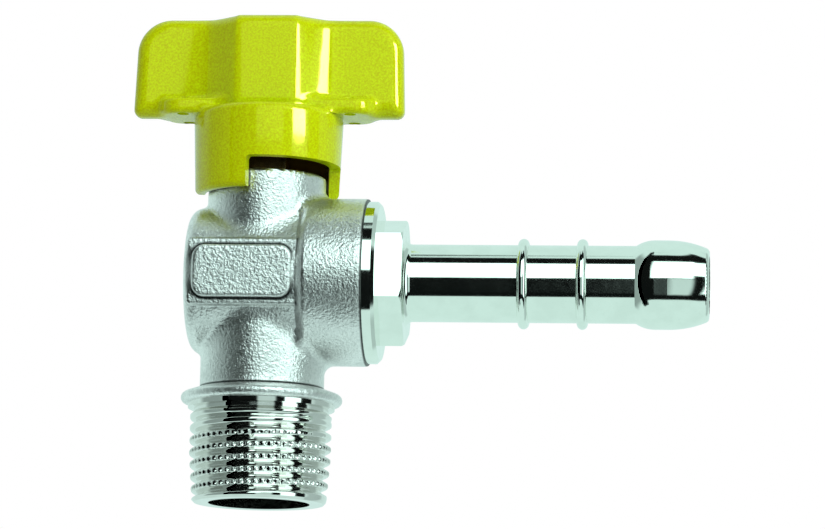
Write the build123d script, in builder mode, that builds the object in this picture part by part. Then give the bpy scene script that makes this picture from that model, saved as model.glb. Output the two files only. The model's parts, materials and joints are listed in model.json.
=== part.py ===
from build123d import *
import math
import os

os.makedirs("parts", exist_ok=True)

# The origin is the centre of the inlet's end face. +Z runs up the stem axis and +X along the outlet.
# Heights "above the axis" are measured from the outlet axis, where the ball's centre lies.

# Inlet: a male taper thread, drawn as its plain crest surface
OUTLET_HEIGHT = 33.1
THREAD_R = 20.955 / 2
THREAD_TIP_R = 9.95
THREAD_LENGTH = 14.7
THREAD_PARALLEL = 6.0
LEAD_CHAMFER = 0.35
RUNOUT_WIDTH = 1.1
RUNOUT_DEPTH = 0.5
SHOULDER_WIDTH = 0.7
INLET_FLANGE_R = 11.95
FLANGE_STEP = 1.05
INLET_FLANGE_THICKNESS = 2.1
INLET_FLANGE_ROUND = 0.6
INLET_BORE_R = 7.5
INLET_BORE_DEPTH = 16.0
INLET_PASSAGE_R = 6.0

# Ball and its two seats
BALL_R = 8.5
PORT_R = 4.5
SLOT_FLOOR = 5.9
SEAT_GAP = 0.06
SEAT_CONTACT_R = 6.6
SEAT_INNER_R = 4.7
SEAT_OUTER_R = 7.8
SEAT_THICKNESS = 3.2
SEAT_CLEARANCE = 0.05

# Forged body around the ball
CHAMBER_GAP = 0.4
BODY_WALL = 2.0
BACK_WALL = 2.3
BARREL_EDGE = 2.0
LOWER_NECK_R = 9.2
UPPER_NECK_R = 8.75
NECK_LAND = 4.1
NECK_RIM = 0.5
PLINTH_HEIGHT = 9.8
PLINTH_SINK = 0.55
PLINTH_INSET = 0.65
PANEL_HEIGHT = 7.8
PANEL_CORNER = 1.9
PANEL_EDGE = 0.45
PANEL_RISE = 0.3
PANEL_INSET = 1.45
PANEL_GAP = 1.0

# Connector with hose tail, screwed into the collar
COLLAR_WALL = 2.4
COLLAR_WIDTH = 9.4
COLLAR_EDGE = 1.0
SPIGOT_STEP = 1.1
SPIGOT_LENGTH = 8.55
SPIGOT_CLEARANCE = 0.05
SEAT_LIP = 1.6
SEAL_SECTION_R = 0.7
SEAL_OFFSET = 1.8
GROOVE_CLEARANCE = 0.05
SEAL_SIDE_CLEARANCE = 0.1
TAIL_FLANGE_R = 12.05
TAIL_FLANGE_THICKNESS = 1.8
TAIL_FLANGE_CHAMFER = 0.5
HEX_ACROSS_FLATS = 17.0
HEX_LENGTH = 3.75
HALF_HEX_ANGLE = 30.0
HEX_TURN = 10.0
HEX_CORNER_CUT = 0.55
HEX_CHAMFER_ANGLE = 30.0
TUBE_R = 5.75
TUBE_ROOT_ROUND = 1.0
TAIL_BORE_R = 4.25
RING_R = 6.7
RING_WIDTH = 1.5
RING_FIRST = 17.45
RING_PITCH = 8.7
BULB_GAP = 7.9
BULB_RISE = 2.8
BULB_R = 6.6
BULB_LAND = 2.0
NOSE_LENGTH = 6.0
NOSE_R = 5.3
NOSE_ROUND_SHARE = 0.7

# Stem with its washer and seals
STEM_R = 4.0
STEM_CLEARANCE = 0.05
STEM_SHOULDER_R = 5.5
STEM_SHOULDER_THICKNESS = 2.05
STEM_SHOULDER_GAP = 0.4
SHOULDER_CLEARANCE = 0.1
TANG_WIDTH = 3.0
TANG_LENGTH = 8.0
TANG_CLEARANCE = 0.05
WASHER_THICKNESS = 0.6
O_RING_SECTION_R = 0.5
O_RING_SPACING = 1.75
SQUARE_SIZE = 6.0
SQUARE_CLEARANCE = 0.05
STEM_TOP_GAP = 0.3

# Handle
HANDLE_GAP = 0.35
SKIRT_GAP = 0.35
SKIRT_WALL = 1.65
SKIRT_DRAFT = 0.4
SKIRT_HEIGHT = 12.6
SKIRT_SHOULDER_ROUND = 1.2
SKIRT_RIM_ROUND = 0.8
CROWN_THICKNESS = 2.9
CROWN_BLEND = 0.6
TOUCH = 0.01
NOTCH_GAP = 1.2
HALF_TURN = 180.0
TURN_ANGLE = 90.0
LUG_MIDDLE = 90.0
LUG_ANGLE = 20.0
STOP_CLEARANCE = 0.5
LUG_REACH = 1.35
WING_REACH = 20.4
WING_HEIGHT = 14.9
WING_THICKNESS = 4.6
WING_END_ANGLE = 88.0
WING_DROP = 0.65
WING_TOP_CORNER = 5.0
WING_BOTTOM_CORNER = 1.2
HUB_DEPTH = 6.0
HUB_FRONT = 4.2
HUB_FLARE = 4.6
HUB_INNER_ROUND = 7.0
HUB_OUTER_ROUND = 4.0
HANDLE_ROUND = 0.7
PAD_REACH = 16.0
PAD_WIDTH = 9.8
PAD_HEIGHT = 2.4
PAD_CORNER = 3.0
WIRE_HOLE_R = 0.9
WIRE_HOLE_X = 12.5
WIRE_HOLE_Y = 3.5

# Screw and washer on top of the stem
SCREW_R = 2.0
SCREW_LENGTH = 9.0
SCREW_CLEARANCE = 0.05
SCREW_HEAD_R = 3.5
SCREW_HEAD_HEIGHT = 2.4
SCREW_HEAD_ROUND = 1.2
RECESS_WIDTH = 1.0
RECESS_LENGTH = 3.8
RECESS_DEPTH = 1.4
HEAD_WASHER_R = 4.1
HEAD_WASHER_THICKNESS = 0.7
HEAD_WELL_CLEARANCE = 0.3
HEAD_WELL_DEPTH = 5.15


def seat_face(radius):
    """Distance from the ball's centre to the seat's hollow face, at a radius from the outlet axis."""
    return math.sqrt((BALL_R + SEAT_GAP) ** 2 - radius**2)


# Values that follow from the ones above
SECTION = Plane(origin=(0, 0, OUTLET_HEIGHT), x_dir=(1, 0, 0), z_dir=(0, -1, 0))
OUTLET_AXIS = Axis((0, 0, OUTLET_HEIGHT), (1, 0, 0))
FLANGE_TOP = THREAD_LENGTH + INLET_FLANGE_THICKNESS
SHOULDER_R = INLET_FLANGE_R - FLANGE_STEP
RUNOUT_TOP = THREAD_LENGTH - SHOULDER_WIDTH
RUNOUT_BOTTOM = RUNOUT_TOP - RUNOUT_WIDTH
TAPER_TOP = RUNOUT_BOTTOM - THREAD_PARALLEL

CHAMBER_R = BALL_R + CHAMBER_GAP
BARREL_R = CHAMBER_R + BODY_WALL
SEAT_MIDDLE_R = (SEAT_INNER_R + SEAT_CONTACT_R) / 2
SEAT_FRONT = seat_face(SEAT_CONTACT_R)
SEAT_BACK = SEAT_FRONT + SEAT_THICKNESS
POCKET_R = SEAT_OUTER_R + SEAT_CLEARANCE
BARREL_BACK = SEAT_BACK + BACK_WALL

SPIGOT_R = CHAMBER_R + SPIGOT_STEP
SPIGOT_BORE_R = SPIGOT_R + SPIGOT_CLEARANCE
SPIGOT_START = SEAT_BACK - SEAT_LIP
JOINT_FACE = SPIGOT_START + SPIGOT_LENGTH
COLLAR_R = SPIGOT_BORE_R + COLLAR_WALL
COLLAR_START = JOINT_FACE - COLLAR_WIDTH
SEAL_X = JOINT_FACE - SEAL_OFFSET
SEAL_GROOVE_R = SPIGOT_R - 2 * SEAL_SECTION_R - GROOVE_CLEARANCE
HEX_START = JOINT_FACE + TAIL_FLANGE_THICKNESS
HEX_END = HEX_START + HEX_LENGTH
RING_PLACES = [HEX_END + RING_FIRST, HEX_END + RING_FIRST + RING_PITCH]
BULB_START = RING_PLACES[-1] + BULB_GAP
LAND_START = BULB_START + BULB_RISE
LAND_END = LAND_START + BULB_LAND
TAIL_END = LAND_END + NOSE_LENGTH

STEM_BORE_R = STEM_R + STEM_CLEARANCE
SHOULDER_BOTTOM = BALL_R + STEM_SHOULDER_GAP
SHOULDER_TOP = SHOULDER_BOTTOM + STEM_SHOULDER_THICKNESS
THRUST_TOP = SHOULDER_TOP + WASHER_THICKNESS
STEM_CEILING = THRUST_TOP + STEM_CLEARANCE
SHOULDER_BORE_R = STEM_SHOULDER_R + SHOULDER_CLEARANCE
NECK_TOP = STEM_CEILING + NECK_LAND
O_RING_MIDDLE = STEM_CEILING + NECK_LAND / 2
O_RING_PLACES = {
    "stem_o_ring_lower": O_RING_MIDDLE - O_RING_SPACING / 2,
    "stem_o_ring_upper": O_RING_MIDDLE + O_RING_SPACING / 2,
}
O_RING_GROOVE_R = STEM_R - 2 * O_RING_SECTION_R - GROOVE_CLEARANCE

SKIRT_INNER_R = UPPER_NECK_R + SKIRT_GAP
SKIRT_R = SKIRT_INNER_R + SKIRT_WALL
HANDLE_BOTTOM = COLLAR_R + HANDLE_GAP
NOTCH_TOP = NECK_TOP + NOTCH_GAP
CROWN_TOP = HANDLE_BOTTOM + SKIRT_HEIGHT
CROWN_LEVEL = OUTLET_HEIGHT + CROWN_TOP
CROWN_BOTTOM = CROWN_TOP - CROWN_THICKNESS
WING_BOTTOM = CROWN_TOP - WING_DROP
HANDLE_TOP = WING_BOTTOM + WING_HEIGHT
WELL_FLOOR = HANDLE_TOP - HEAD_WELL_DEPTH
STEM_TOP = WELL_FLOOR - STEM_TOP_GAP
HEAD_SEAT = WELL_FLOOR + HEAD_WASHER_THICKNESS
SOCKET_SIZE = SQUARE_SIZE + 2 * SQUARE_CLEARANCE
PANEL_FOOT = BARREL_R - BODY_WALL
PLINTH_FACE = BARREL_R - PLINTH_SINK
PLINTH_START = PLINTH_INSET - BARREL_BACK
PANEL_FACE = BARREL_R + PANEL_RISE
PANEL_START = PANEL_INSET - BARREL_BACK
PANEL_END = COLLAR_START - PANEL_GAP
SEAL_GROOVE_WIDTH = 2 * (SEAL_SECTION_R + SEAL_SIDE_CLEARANCE)
O_RING_GROOVE_WIDTH = 2 * (O_RING_SECTION_R + SEAL_SIDE_CLEARANCE)
HEX_CORNER_R = HEX_ACROSS_FLATS / 2 / math.cos(math.radians(HALF_HEX_ANGLE))
HEX_FACE_R = HEX_CORNER_R - HEX_CORNER_CUT
HEX_CHAMFER_DEPTH = (TAIL_FLANGE_R - HEX_FACE_R) * math.tan(math.radians(HEX_CHAMFER_ANGLE))
NOSE_ROUND = NOSE_ROUND_SHARE * (NOSE_R - TAIL_BORE_R)
NOTCH_ANGLE = TURN_ANGLE + LUG_ANGLE + 2 * STOP_CLEARANCE
NOTCH_START = LUG_MIDDLE - LUG_ANGLE / 2 - STOP_CLEARANCE


def radial_plane(angle):
    """Half plane through the stem axis, turned by angle from +X, with its height above the outlet axis."""
    turn = math.radians(angle)
    return Plane(
        origin=(0, 0, OUTLET_HEIGHT),
        x_dir=(math.cos(turn), math.sin(turn), 0),
        z_dir=(math.sin(turn), -math.cos(turn), 0),
    )


def outlet_plane(distance):
    """Plane across the outlet, at a distance from the stem axis."""
    return Plane(origin=(distance, 0, OUTLET_HEIGHT), x_dir=(0, 1, 0), z_dir=(1, 0, 0))


def panel_plane(facing):
    """Upright plane inside the barrel's wall, facing the front (-1) or the back (1)."""
    return Plane(
        origin=(0, facing * PANEL_FOOT, OUTLET_HEIGHT),
        x_dir=(1, 0, 0),
        z_dir=(0, facing, 0),
    )


def stem_level(height):
    """Level plane at a height above the outlet axis."""
    return Plane.XY.offset(OUTLET_HEIGHT + height)


# Raised panels with rounded edges, each on a flat plinth, at the front and at the back
with BuildPart() as panels:
    for facing in (-1, 1):
        with BuildSketch(panel_plane(facing)):
            with Locations((PLINTH_START, 0)):
                Rectangle(COLLAR_START - PLINTH_START, PLINTH_HEIGHT, align=(Align.MIN, Align.CENTER))
        extrude(amount=PLINTH_FACE - PANEL_FOOT)
        with BuildSketch(panel_plane(facing)):
            with Locations(((PANEL_START + PANEL_END) / 2, 0)):
                RectangleRounded(PANEL_END - PANEL_START, PANEL_HEIGHT, PANEL_CORNER)
        extrude(amount=PANEL_FACE - PANEL_FOOT)
        outwards = Axis((0, 0, 0), (0, facing, 0))
        fillet(faces().sort_by(outwards)[-1].edges(), PANEL_EDGE)


# Forged body: barrel and collar along the outlet, necks and inlet along the stem axis
with BuildPart() as body:
    with BuildSketch(SECTION):
        with BuildLine():
            Polyline(
                (-BARREL_BACK, 0),
                (-BARREL_BACK, BARREL_R),
                (COLLAR_START, BARREL_R),
                (COLLAR_START, COLLAR_R),
                (JOINT_FACE, COLLAR_R),
                (JOINT_FACE, 0),
                close=True,
            )
        make_face()
        fillet(vertices().group_by(Axis.X)[0].sort_by(Axis.Y)[-1], BARREL_EDGE)
        fillet(vertices().group_by(Axis.X)[-2].sort_by(Axis.Y)[-1], COLLAR_EDGE)
    revolve(axis=OUTLET_AXIS)
    add(panels.part)

    # Upper neck with its stop lug at the back
    with BuildSketch(Plane.XY.offset(OUTLET_HEIGHT)):
        Circle(UPPER_NECK_R)
    extrude(amount=NECK_TOP)
    chamfer(edges().group_by(Axis.Z)[-1], NECK_RIM)
    with BuildSketch(radial_plane(LUG_MIDDLE - LUG_ANGLE / 2)):
        with Locations((UPPER_NECK_R / 2, 0)):
            Rectangle(UPPER_NECK_R / 2 + LUG_REACH, NECK_TOP, align=(Align.MIN, Align.MIN))
    revolve(axis=Axis.Z, revolution_arc=LUG_ANGLE)

    # Lower neck, flange and the plain form of the inlet thread
    with BuildSketch(Plane.XZ):
        with BuildLine():
            Polyline(
                (0, 0),
                (THREAD_TIP_R - LEAD_CHAMFER, 0),
                (THREAD_TIP_R, LEAD_CHAMFER),
                (THREAD_R, TAPER_TOP),
                (THREAD_R, RUNOUT_BOTTOM),
                (THREAD_R - RUNOUT_DEPTH, RUNOUT_BOTTOM + RUNOUT_DEPTH),
                (THREAD_R - RUNOUT_DEPTH, RUNOUT_TOP),
                (SHOULDER_R, RUNOUT_TOP),
                (SHOULDER_R, THREAD_LENGTH),
                (INLET_FLANGE_R, THREAD_LENGTH),
                (INLET_FLANGE_R, FLANGE_TOP),
                (LOWER_NECK_R, FLANGE_TOP),
                (LOWER_NECK_R, OUTLET_HEIGHT),
                (0, OUTLET_HEIGHT),
                close=True,
            )
        make_face()
        fillet(vertices().group_by(Axis.X)[-1], INLET_FLANGE_ROUND)
    revolve(axis=Axis.Z)

    # Outlet side bored from the joint face: connector thread, ball chamber, rear seat pocket
    with BuildSketch(SECTION):
        with BuildLine():
            Polyline(
                (JOINT_FACE, 0),
                (JOINT_FACE, SPIGOT_BORE_R),
                (SPIGOT_START - SPIGOT_CLEARANCE, SPIGOT_BORE_R),
                (SPIGOT_START - SPIGOT_CLEARANCE, CHAMBER_R),
                (-SEAT_FRONT - SEAT_LIP, CHAMBER_R),
                (-SEAT_FRONT - SEAT_LIP, POCKET_R),
                (-SEAT_BACK, POCKET_R),
                (-SEAT_BACK, 0),
                close=True,
            )
        make_face()
    revolve(axis=OUTLET_AXIS, mode=Mode.SUBTRACT)

    # Inlet bore from below and stem bore from above, one profile about the stem axis
    with BuildSketch(Plane.XZ):
        with BuildLine():
            Polyline(
                (0, 0),
                (INLET_BORE_R, 0),
                (INLET_BORE_R, INLET_BORE_DEPTH),
                (INLET_PASSAGE_R, INLET_BORE_DEPTH),
                (INLET_PASSAGE_R, OUTLET_HEIGHT),
                (SHOULDER_BORE_R, OUTLET_HEIGHT),
                (SHOULDER_BORE_R, OUTLET_HEIGHT + STEM_CEILING),
                (STEM_BORE_R, OUTLET_HEIGHT + STEM_CEILING),
                (STEM_BORE_R, OUTLET_HEIGHT + NECK_TOP),
                (0, OUTLET_HEIGHT + NECK_TOP),
                close=True,
            )
        make_face()
    revolve(axis=Axis.Z, mode=Mode.SUBTRACT)
body.part.label = "body"
export_step(body.part, "parts/body.step")


# Connector: spigot, flange, hexagon and hose tail turned in one piece
with BuildPart() as hose_tail:
    with BuildSketch(SECTION):
        with BuildLine():
            Polyline(
                (SPIGOT_START, 0),
                (SPIGOT_START, SPIGOT_R),
                (SEAL_X - SEAL_GROOVE_WIDTH / 2, SPIGOT_R),
                (SEAL_X - SEAL_GROOVE_WIDTH / 2, SEAL_GROOVE_R),
                (SEAL_X + SEAL_GROOVE_WIDTH / 2, SEAL_GROOVE_R),
                (SEAL_X + SEAL_GROOVE_WIDTH / 2, SPIGOT_R),
                (JOINT_FACE, SPIGOT_R),
                (JOINT_FACE, TAIL_FLANGE_R),
                (HEX_START - TAIL_FLANGE_CHAMFER, TAIL_FLANGE_R),
                (HEX_START, TAIL_FLANGE_R - TAIL_FLANGE_CHAMFER),
                (HEX_START, 0),
                close=True,
            )
        make_face()
    revolve(axis=OUTLET_AXIS)

    # Hexagon, with its outer corners turned off by a cone
    with BuildSketch(outlet_plane(HEX_START)):
        RegularPolygon(HEX_CORNER_R, 6, rotation=HALF_HEX_ANGLE - HEX_TURN)
    extrude(amount=HEX_LENGTH)
    with BuildSketch(SECTION):
        with BuildLine():
            Polyline(
                (HEX_END, HEX_FACE_R),
                (HEX_END, TAIL_FLANGE_R),
                (HEX_END - HEX_CHAMFER_DEPTH, TAIL_FLANGE_R),
                close=True,
            )
        make_face()
    revolve(axis=OUTLET_AXIS, mode=Mode.SUBTRACT)

    # Tube, bulb and nose
    with BuildSketch(SECTION):
        with BuildLine():
            JernArc((HEX_END, TUBE_R + TUBE_ROOT_ROUND), (0, -1), TUBE_ROOT_ROUND, 90)
            Line((HEX_END + TUBE_ROOT_ROUND, TUBE_R), (BULB_START, TUBE_R))
            TangentArc((LAND_START, BULB_R), (BULB_START, TUBE_R), tangent=(-1, 0))
            Line((LAND_START, BULB_R), (LAND_END, BULB_R))
            TangentArc((LAND_END, BULB_R), (TAIL_END, NOSE_R), tangent=(1, 0))
            Polyline(
                (TAIL_END, NOSE_R),
                (TAIL_END, 0),
                (HEX_END, 0),
                (HEX_END, TUBE_R + TUBE_ROOT_ROUND),
            )
        make_face()
    revolve(axis=OUTLET_AXIS)

    # Two rounded rings that grip the hose
    for place in RING_PLACES:
        with BuildSketch(SECTION):
            with BuildLine():
                Line((place - RING_WIDTH / 2, TUBE_R), (place + RING_WIDTH / 2, TUBE_R))
                ThreePointArc(
                    (place - RING_WIDTH / 2, TUBE_R),
                    (place, RING_R),
                    (place + RING_WIDTH / 2, TUBE_R),
                )
            make_face()
        revolve(axis=OUTLET_AXIS)

    # Seat pocket and through bore
    with BuildSketch(SECTION):
        with BuildLine():
            Polyline(
                (SPIGOT_START, 0),
                (SPIGOT_START, POCKET_R),
                (SEAT_BACK, POCKET_R),
                (SEAT_BACK, TAIL_BORE_R),
                (TAIL_END, TAIL_BORE_R),
                (TAIL_END, 0),
                close=True,
            )
        make_face()
    revolve(axis=OUTLET_AXIS, mode=Mode.SUBTRACT)
    end_edges = edges().filter_by(GeomType.CIRCLE).group_by(Axis.X)[-1]
    fillet(end_edges.sort_by(SortBy.RADIUS)[-1], NOSE_ROUND)
hose_tail.part.label = "hose_tail"
export_step(hose_tail.part, "parts/hose_tail.step")


# Seal ring in the spigot's groove
with BuildPart() as connector_seal:
    with BuildSketch(SECTION):
        with Locations((SEAL_X, SPIGOT_R - SEAL_SECTION_R)):
            Circle(SEAL_SECTION_R)
    revolve(axis=OUTLET_AXIS)
connector_seal.part.label = "connector_seal"
export_step(connector_seal.part, "parts/connector_seal.step")


# Seats: the same ring on both sides of the ball
for label, facing in (("outlet_seat", 1), ("rear_seat", -1)):
    with BuildPart() as seat:
        with BuildSketch(SECTION):
            with BuildLine():
                Polyline(
                    (facing * SEAT_FRONT, SEAT_CONTACT_R),
                    (facing * SEAT_FRONT, SEAT_OUTER_R),
                    (facing * SEAT_BACK, SEAT_OUTER_R),
                    (facing * SEAT_BACK, SEAT_INNER_R),
                    (facing * seat_face(SEAT_INNER_R), SEAT_INNER_R),
                )
                ThreePointArc(
                    (facing * seat_face(SEAT_INNER_R), SEAT_INNER_R),
                    (facing * seat_face(SEAT_MIDDLE_R), SEAT_MIDDLE_R),
                    (facing * SEAT_FRONT, SEAT_CONTACT_R),
                )
            make_face()
        revolve(axis=OUTLET_AXIS)
    seat.part.label = label
    export_step(seat.part, f"parts/{label}.step")


# Ball with an L-shaped port, from below to the outlet, and the stem's slot on top
with BuildPart() as ball:
    with Locations((0, 0, OUTLET_HEIGHT)):
        Sphere(BALL_R)
        Sphere(PORT_R, mode=Mode.SUBTRACT)
    with BuildSketch(stem_level(0)):
        Circle(PORT_R)
    extrude(amount=-BALL_R, mode=Mode.SUBTRACT)
    with BuildSketch(outlet_plane(0)):
        Circle(PORT_R)
    extrude(amount=BALL_R, mode=Mode.SUBTRACT)
    with BuildSketch(stem_level(SLOT_FLOOR)):
        Rectangle(TANG_WIDTH + 2 * TANG_CLEARANCE, 2 * BALL_R)
    extrude(amount=BALL_R, mode=Mode.SUBTRACT)
ball.part.label = "ball"
export_step(ball.part, "parts/ball.step")


# Stem: tang, shoulder, grooved shaft and square, tapped on top
with BuildPart() as stem:
    with BuildSketch(stem_level(SLOT_FLOOR + TANG_CLEARANCE)):
        Rectangle(TANG_WIDTH, TANG_LENGTH)
    extrude(amount=SHOULDER_BOTTOM - SLOT_FLOOR - TANG_CLEARANCE)
    with BuildSketch(stem_level(SHOULDER_BOTTOM)):
        Circle(STEM_SHOULDER_R)
    extrude(amount=STEM_SHOULDER_THICKNESS)
    with BuildSketch(stem_level(SHOULDER_TOP)):
        Circle(STEM_R)
    extrude(amount=NECK_TOP - SHOULDER_TOP)
    with BuildSketch(stem_level(NECK_TOP)):
        Circle(STEM_R)
        Rectangle(SQUARE_SIZE, SQUARE_SIZE, mode=Mode.INTERSECT)
    extrude(amount=STEM_TOP - NECK_TOP)
    for place in O_RING_PLACES.values():
        with BuildSketch(SECTION):
            with Locations((O_RING_GROOVE_R, place)):
                Rectangle(STEM_R, O_RING_GROOVE_WIDTH, align=(Align.MIN, Align.CENTER))
        revolve(axis=Axis.Z, mode=Mode.SUBTRACT)
    with BuildSketch(stem_level(STEM_TOP)):
        Circle(SCREW_R + SCREW_CLEARANCE)
    extrude(amount=-SCREW_LENGTH, mode=Mode.SUBTRACT)
stem.part.label = "stem"
export_step(stem.part, "parts/stem.step")


# Sliding washer on the stem's shoulder
with BuildPart() as stem_thrust_washer:
    with BuildSketch(stem_level(SHOULDER_TOP)):
        Circle(STEM_SHOULDER_R)
        Circle(STEM_BORE_R, mode=Mode.SUBTRACT)
    extrude(amount=WASHER_THICKNESS)
stem_thrust_washer.part.label = "stem_thrust_washer"
export_step(stem_thrust_washer.part, "parts/stem_thrust_washer.step")


# Two seal rings in the stem's grooves
for label, place in O_RING_PLACES.items():
    with BuildPart() as o_ring:
        with BuildSketch(SECTION):
            with Locations((STEM_R - O_RING_SECTION_R, place)):
                Circle(O_RING_SECTION_R)
        revolve(axis=Axis.Z)
    o_ring.part.label = label
    export_step(o_ring.part, f"parts/{label}.step")


# Grip of the handle: hub lobes and wings share one plan, cut to the wings' front outline
with BuildPart() as grip:
    with BuildSketch(stem_level(WING_BOTTOM)):
        with BuildLine():
            lobe = Polyline(
                (WING_REACH, 0),
                (WING_REACH, WING_THICKNESS / 2),
                (HUB_FRONT + HUB_FLARE, WING_THICKNESS / 2),
                (HUB_FRONT, HUB_DEPTH),
                (0, HUB_DEPTH),
            )
            mirror(lobe, about=Plane.YZ)
            mirror(about=Plane.XZ)
        make_face()
        wing_roots = vertices().filter_by(lambda v: abs(abs(v.X) - HUB_FRONT - HUB_FLARE) < TOUCH)
        fillet(wing_roots, HUB_INNER_ROUND)
        hub_corners = vertices().filter_by(lambda v: abs(abs(v.Y) - HUB_DEPTH) < TOUCH)
        fillet(hub_corners, HUB_OUTER_ROUND)
    extrude(amount=WING_HEIGHT)
    with BuildSketch(SECTION):
        with Locations((0, WING_BOTTOM)):
            Trapezoid(2 * WING_REACH, WING_HEIGHT, WING_END_ANGLE, align=(Align.CENTER, Align.MIN))
        fillet(vertices().group_by(Axis.Y)[-1], WING_TOP_CORNER)
        fillet(vertices().group_by(Axis.Y)[0], WING_BOTTOM_CORNER)
    extrude(amount=HUB_DEPTH, both=True, mode=Mode.INTERSECT)
    rim = edges().filter_by(Axis.Y, reverse=True)
    fillet(rim.filter_by(Axis.Z, reverse=True), HANDLE_ROUND)


# Plate at the wings' roots, pierced for a seal wire
with BuildPart() as root_plate:
    with BuildSketch(stem_level(WING_BOTTOM)):
        RectangleRounded(2 * PAD_REACH, PAD_WIDTH, PAD_CORNER)
    extrude(amount=PAD_HEIGHT)
    fillet(edges().filter_by(Plane.XY), HANDLE_ROUND)


# Handle: skirt and crown, with grip and root plate cast on
with BuildPart() as handle:
    with BuildSketch(SECTION):
        with BuildLine():
            Polyline(
                (0, CROWN_TOP),
                (0, CROWN_BOTTOM),
                (SKIRT_INNER_R, CROWN_BOTTOM),
                (SKIRT_INNER_R, HANDLE_BOTTOM),
                (SKIRT_R, HANDLE_BOTTOM),
                (SKIRT_R + SKIRT_DRAFT, CROWN_TOP),
                close=True,
            )
        make_face()
        fillet(vertices().sort_by(Axis.X)[-1], SKIRT_SHOULDER_ROUND)
        fillet(vertices().group_by(Axis.Y)[0].sort_by(Axis.X)[-1], SKIRT_RIM_ROUND)
    revolve(axis=Axis.Z)
    add(grip.part)
    add(root_plate.part)
    crown_edges = edges().filter_by_position(Axis.Z, CROWN_LEVEL - TOUCH, CROWN_LEVEL + TOUCH)
    fillet(crown_edges.filter_by(lambda edge: abs((edge @ 0.5).Y) < SKIRT_INNER_R), CROWN_BLEND)

    # Stop notches, one at the front and one at the back
    for start in (NOTCH_START, NOTCH_START - HALF_TURN):
        with BuildSketch(radial_plane(start)):
            with Locations((UPPER_NECK_R, NOTCH_TOP)):
                Rectangle(SKIRT_R, NOTCH_TOP, align=(Align.MIN, Align.MAX))
        revolve(axis=Axis.Z, revolution_arc=NOTCH_ANGLE, mode=Mode.SUBTRACT)

    # Square socket for the stem, and the well for the screw's head
    with BuildSketch(stem_level(CROWN_BOTTOM)):
        Circle(STEM_R + SQUARE_CLEARANCE)
        Rectangle(SOCKET_SIZE, SOCKET_SIZE, mode=Mode.INTERSECT)
    extrude(amount=WELL_FLOOR - CROWN_BOTTOM, mode=Mode.SUBTRACT)
    with BuildSketch(stem_level(WELL_FLOOR)):
        Circle(HEAD_WASHER_R + HEAD_WELL_CLEARANCE)
    extrude(amount=HEAD_WELL_DEPTH, mode=Mode.SUBTRACT)

    # Seal-wire holes
    with BuildSketch(stem_level(WING_BOTTOM)):
        with GridLocations(2 * WIRE_HOLE_X, 2 * WIRE_HOLE_Y, 2, 2):
            Circle(WIRE_HOLE_R)
    extrude(amount=PAD_HEIGHT, mode=Mode.SUBTRACT)
handle.part.label = "handle"
export_step(handle.part, "parts/handle.step")


# Screw with a domed head and a cross recess
with BuildPart() as handle_screw:
    with BuildSketch(stem_level(HEAD_SEAT)):
        Circle(SCREW_R)
    extrude(amount=-SCREW_LENGTH)
    with BuildSketch(stem_level(HEAD_SEAT)):
        Circle(SCREW_HEAD_R)
    extrude(amount=SCREW_HEAD_HEIGHT)
    fillet(edges().group_by(Axis.Z)[-1], SCREW_HEAD_ROUND)
    with BuildSketch(stem_level(HEAD_SEAT + SCREW_HEAD_HEIGHT)):
        Rectangle(RECESS_LENGTH, RECESS_WIDTH)
        Rectangle(RECESS_WIDTH, RECESS_LENGTH)
    extrude(amount=-RECESS_DEPTH, mode=Mode.SUBTRACT)
handle_screw.part.label = "handle_screw"
export_step(handle_screw.part, "parts/handle_screw.step")


# Washer under the screw's head
with BuildPart() as handle_washer:
    with BuildSketch(stem_level(WELL_FLOOR)):
        Circle(HEAD_WASHER_R)
        Circle(SCREW_R + SCREW_CLEARANCE, mode=Mode.SUBTRACT)
    extrude(amount=HEAD_WASHER_THICKNESS)
handle_washer.part.label = "handle_washer"
export_step(handle_washer.part, "parts/handle_washer.step")
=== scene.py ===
# %% [markdown]
# # An angled gas ball valve
# A forged, blasted body turns gas from a threaded inlet below into a polished hose tail at the right, and a
# yellow butterfly handle opens and shuts it. The measured solids come from a packed CAD model. This lesson
# loads them as a fixed frame, rebuilds the pieces whose charm lies in soft or tiny forms, gives every piece a
# finish and lights it like a catalogue picture. All lengths below are in millimetres until they reach a mesh.

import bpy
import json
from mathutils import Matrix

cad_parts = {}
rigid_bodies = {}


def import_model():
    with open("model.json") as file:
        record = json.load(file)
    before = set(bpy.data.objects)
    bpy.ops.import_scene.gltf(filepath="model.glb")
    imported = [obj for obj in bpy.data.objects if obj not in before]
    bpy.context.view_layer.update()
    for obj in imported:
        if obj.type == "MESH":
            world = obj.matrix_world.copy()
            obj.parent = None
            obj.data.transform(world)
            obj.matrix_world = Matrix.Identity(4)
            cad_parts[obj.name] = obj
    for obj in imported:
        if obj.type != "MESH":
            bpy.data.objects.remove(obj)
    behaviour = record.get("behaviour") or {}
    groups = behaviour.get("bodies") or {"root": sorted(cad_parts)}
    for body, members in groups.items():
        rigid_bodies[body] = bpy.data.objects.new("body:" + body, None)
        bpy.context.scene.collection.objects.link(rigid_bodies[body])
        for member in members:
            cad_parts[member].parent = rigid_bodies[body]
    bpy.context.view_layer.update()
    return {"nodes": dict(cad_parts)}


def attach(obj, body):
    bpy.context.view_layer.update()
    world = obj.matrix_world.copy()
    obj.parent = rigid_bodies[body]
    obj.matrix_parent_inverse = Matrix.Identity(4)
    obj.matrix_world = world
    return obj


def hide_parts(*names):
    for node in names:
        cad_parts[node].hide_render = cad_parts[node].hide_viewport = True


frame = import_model()
MM = 0.001
nodes = frame["nodes"]
print("CAD nodes:", sorted(nodes))

# %% Libraries
import json
import math

import bmesh
import bpy
import numpy as np
from mathutils import Matrix

scene = bpy.context.scene
scene.view_settings.view_transform = "Standard"
print("one millimetre is", MM, "Blender units")

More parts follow.
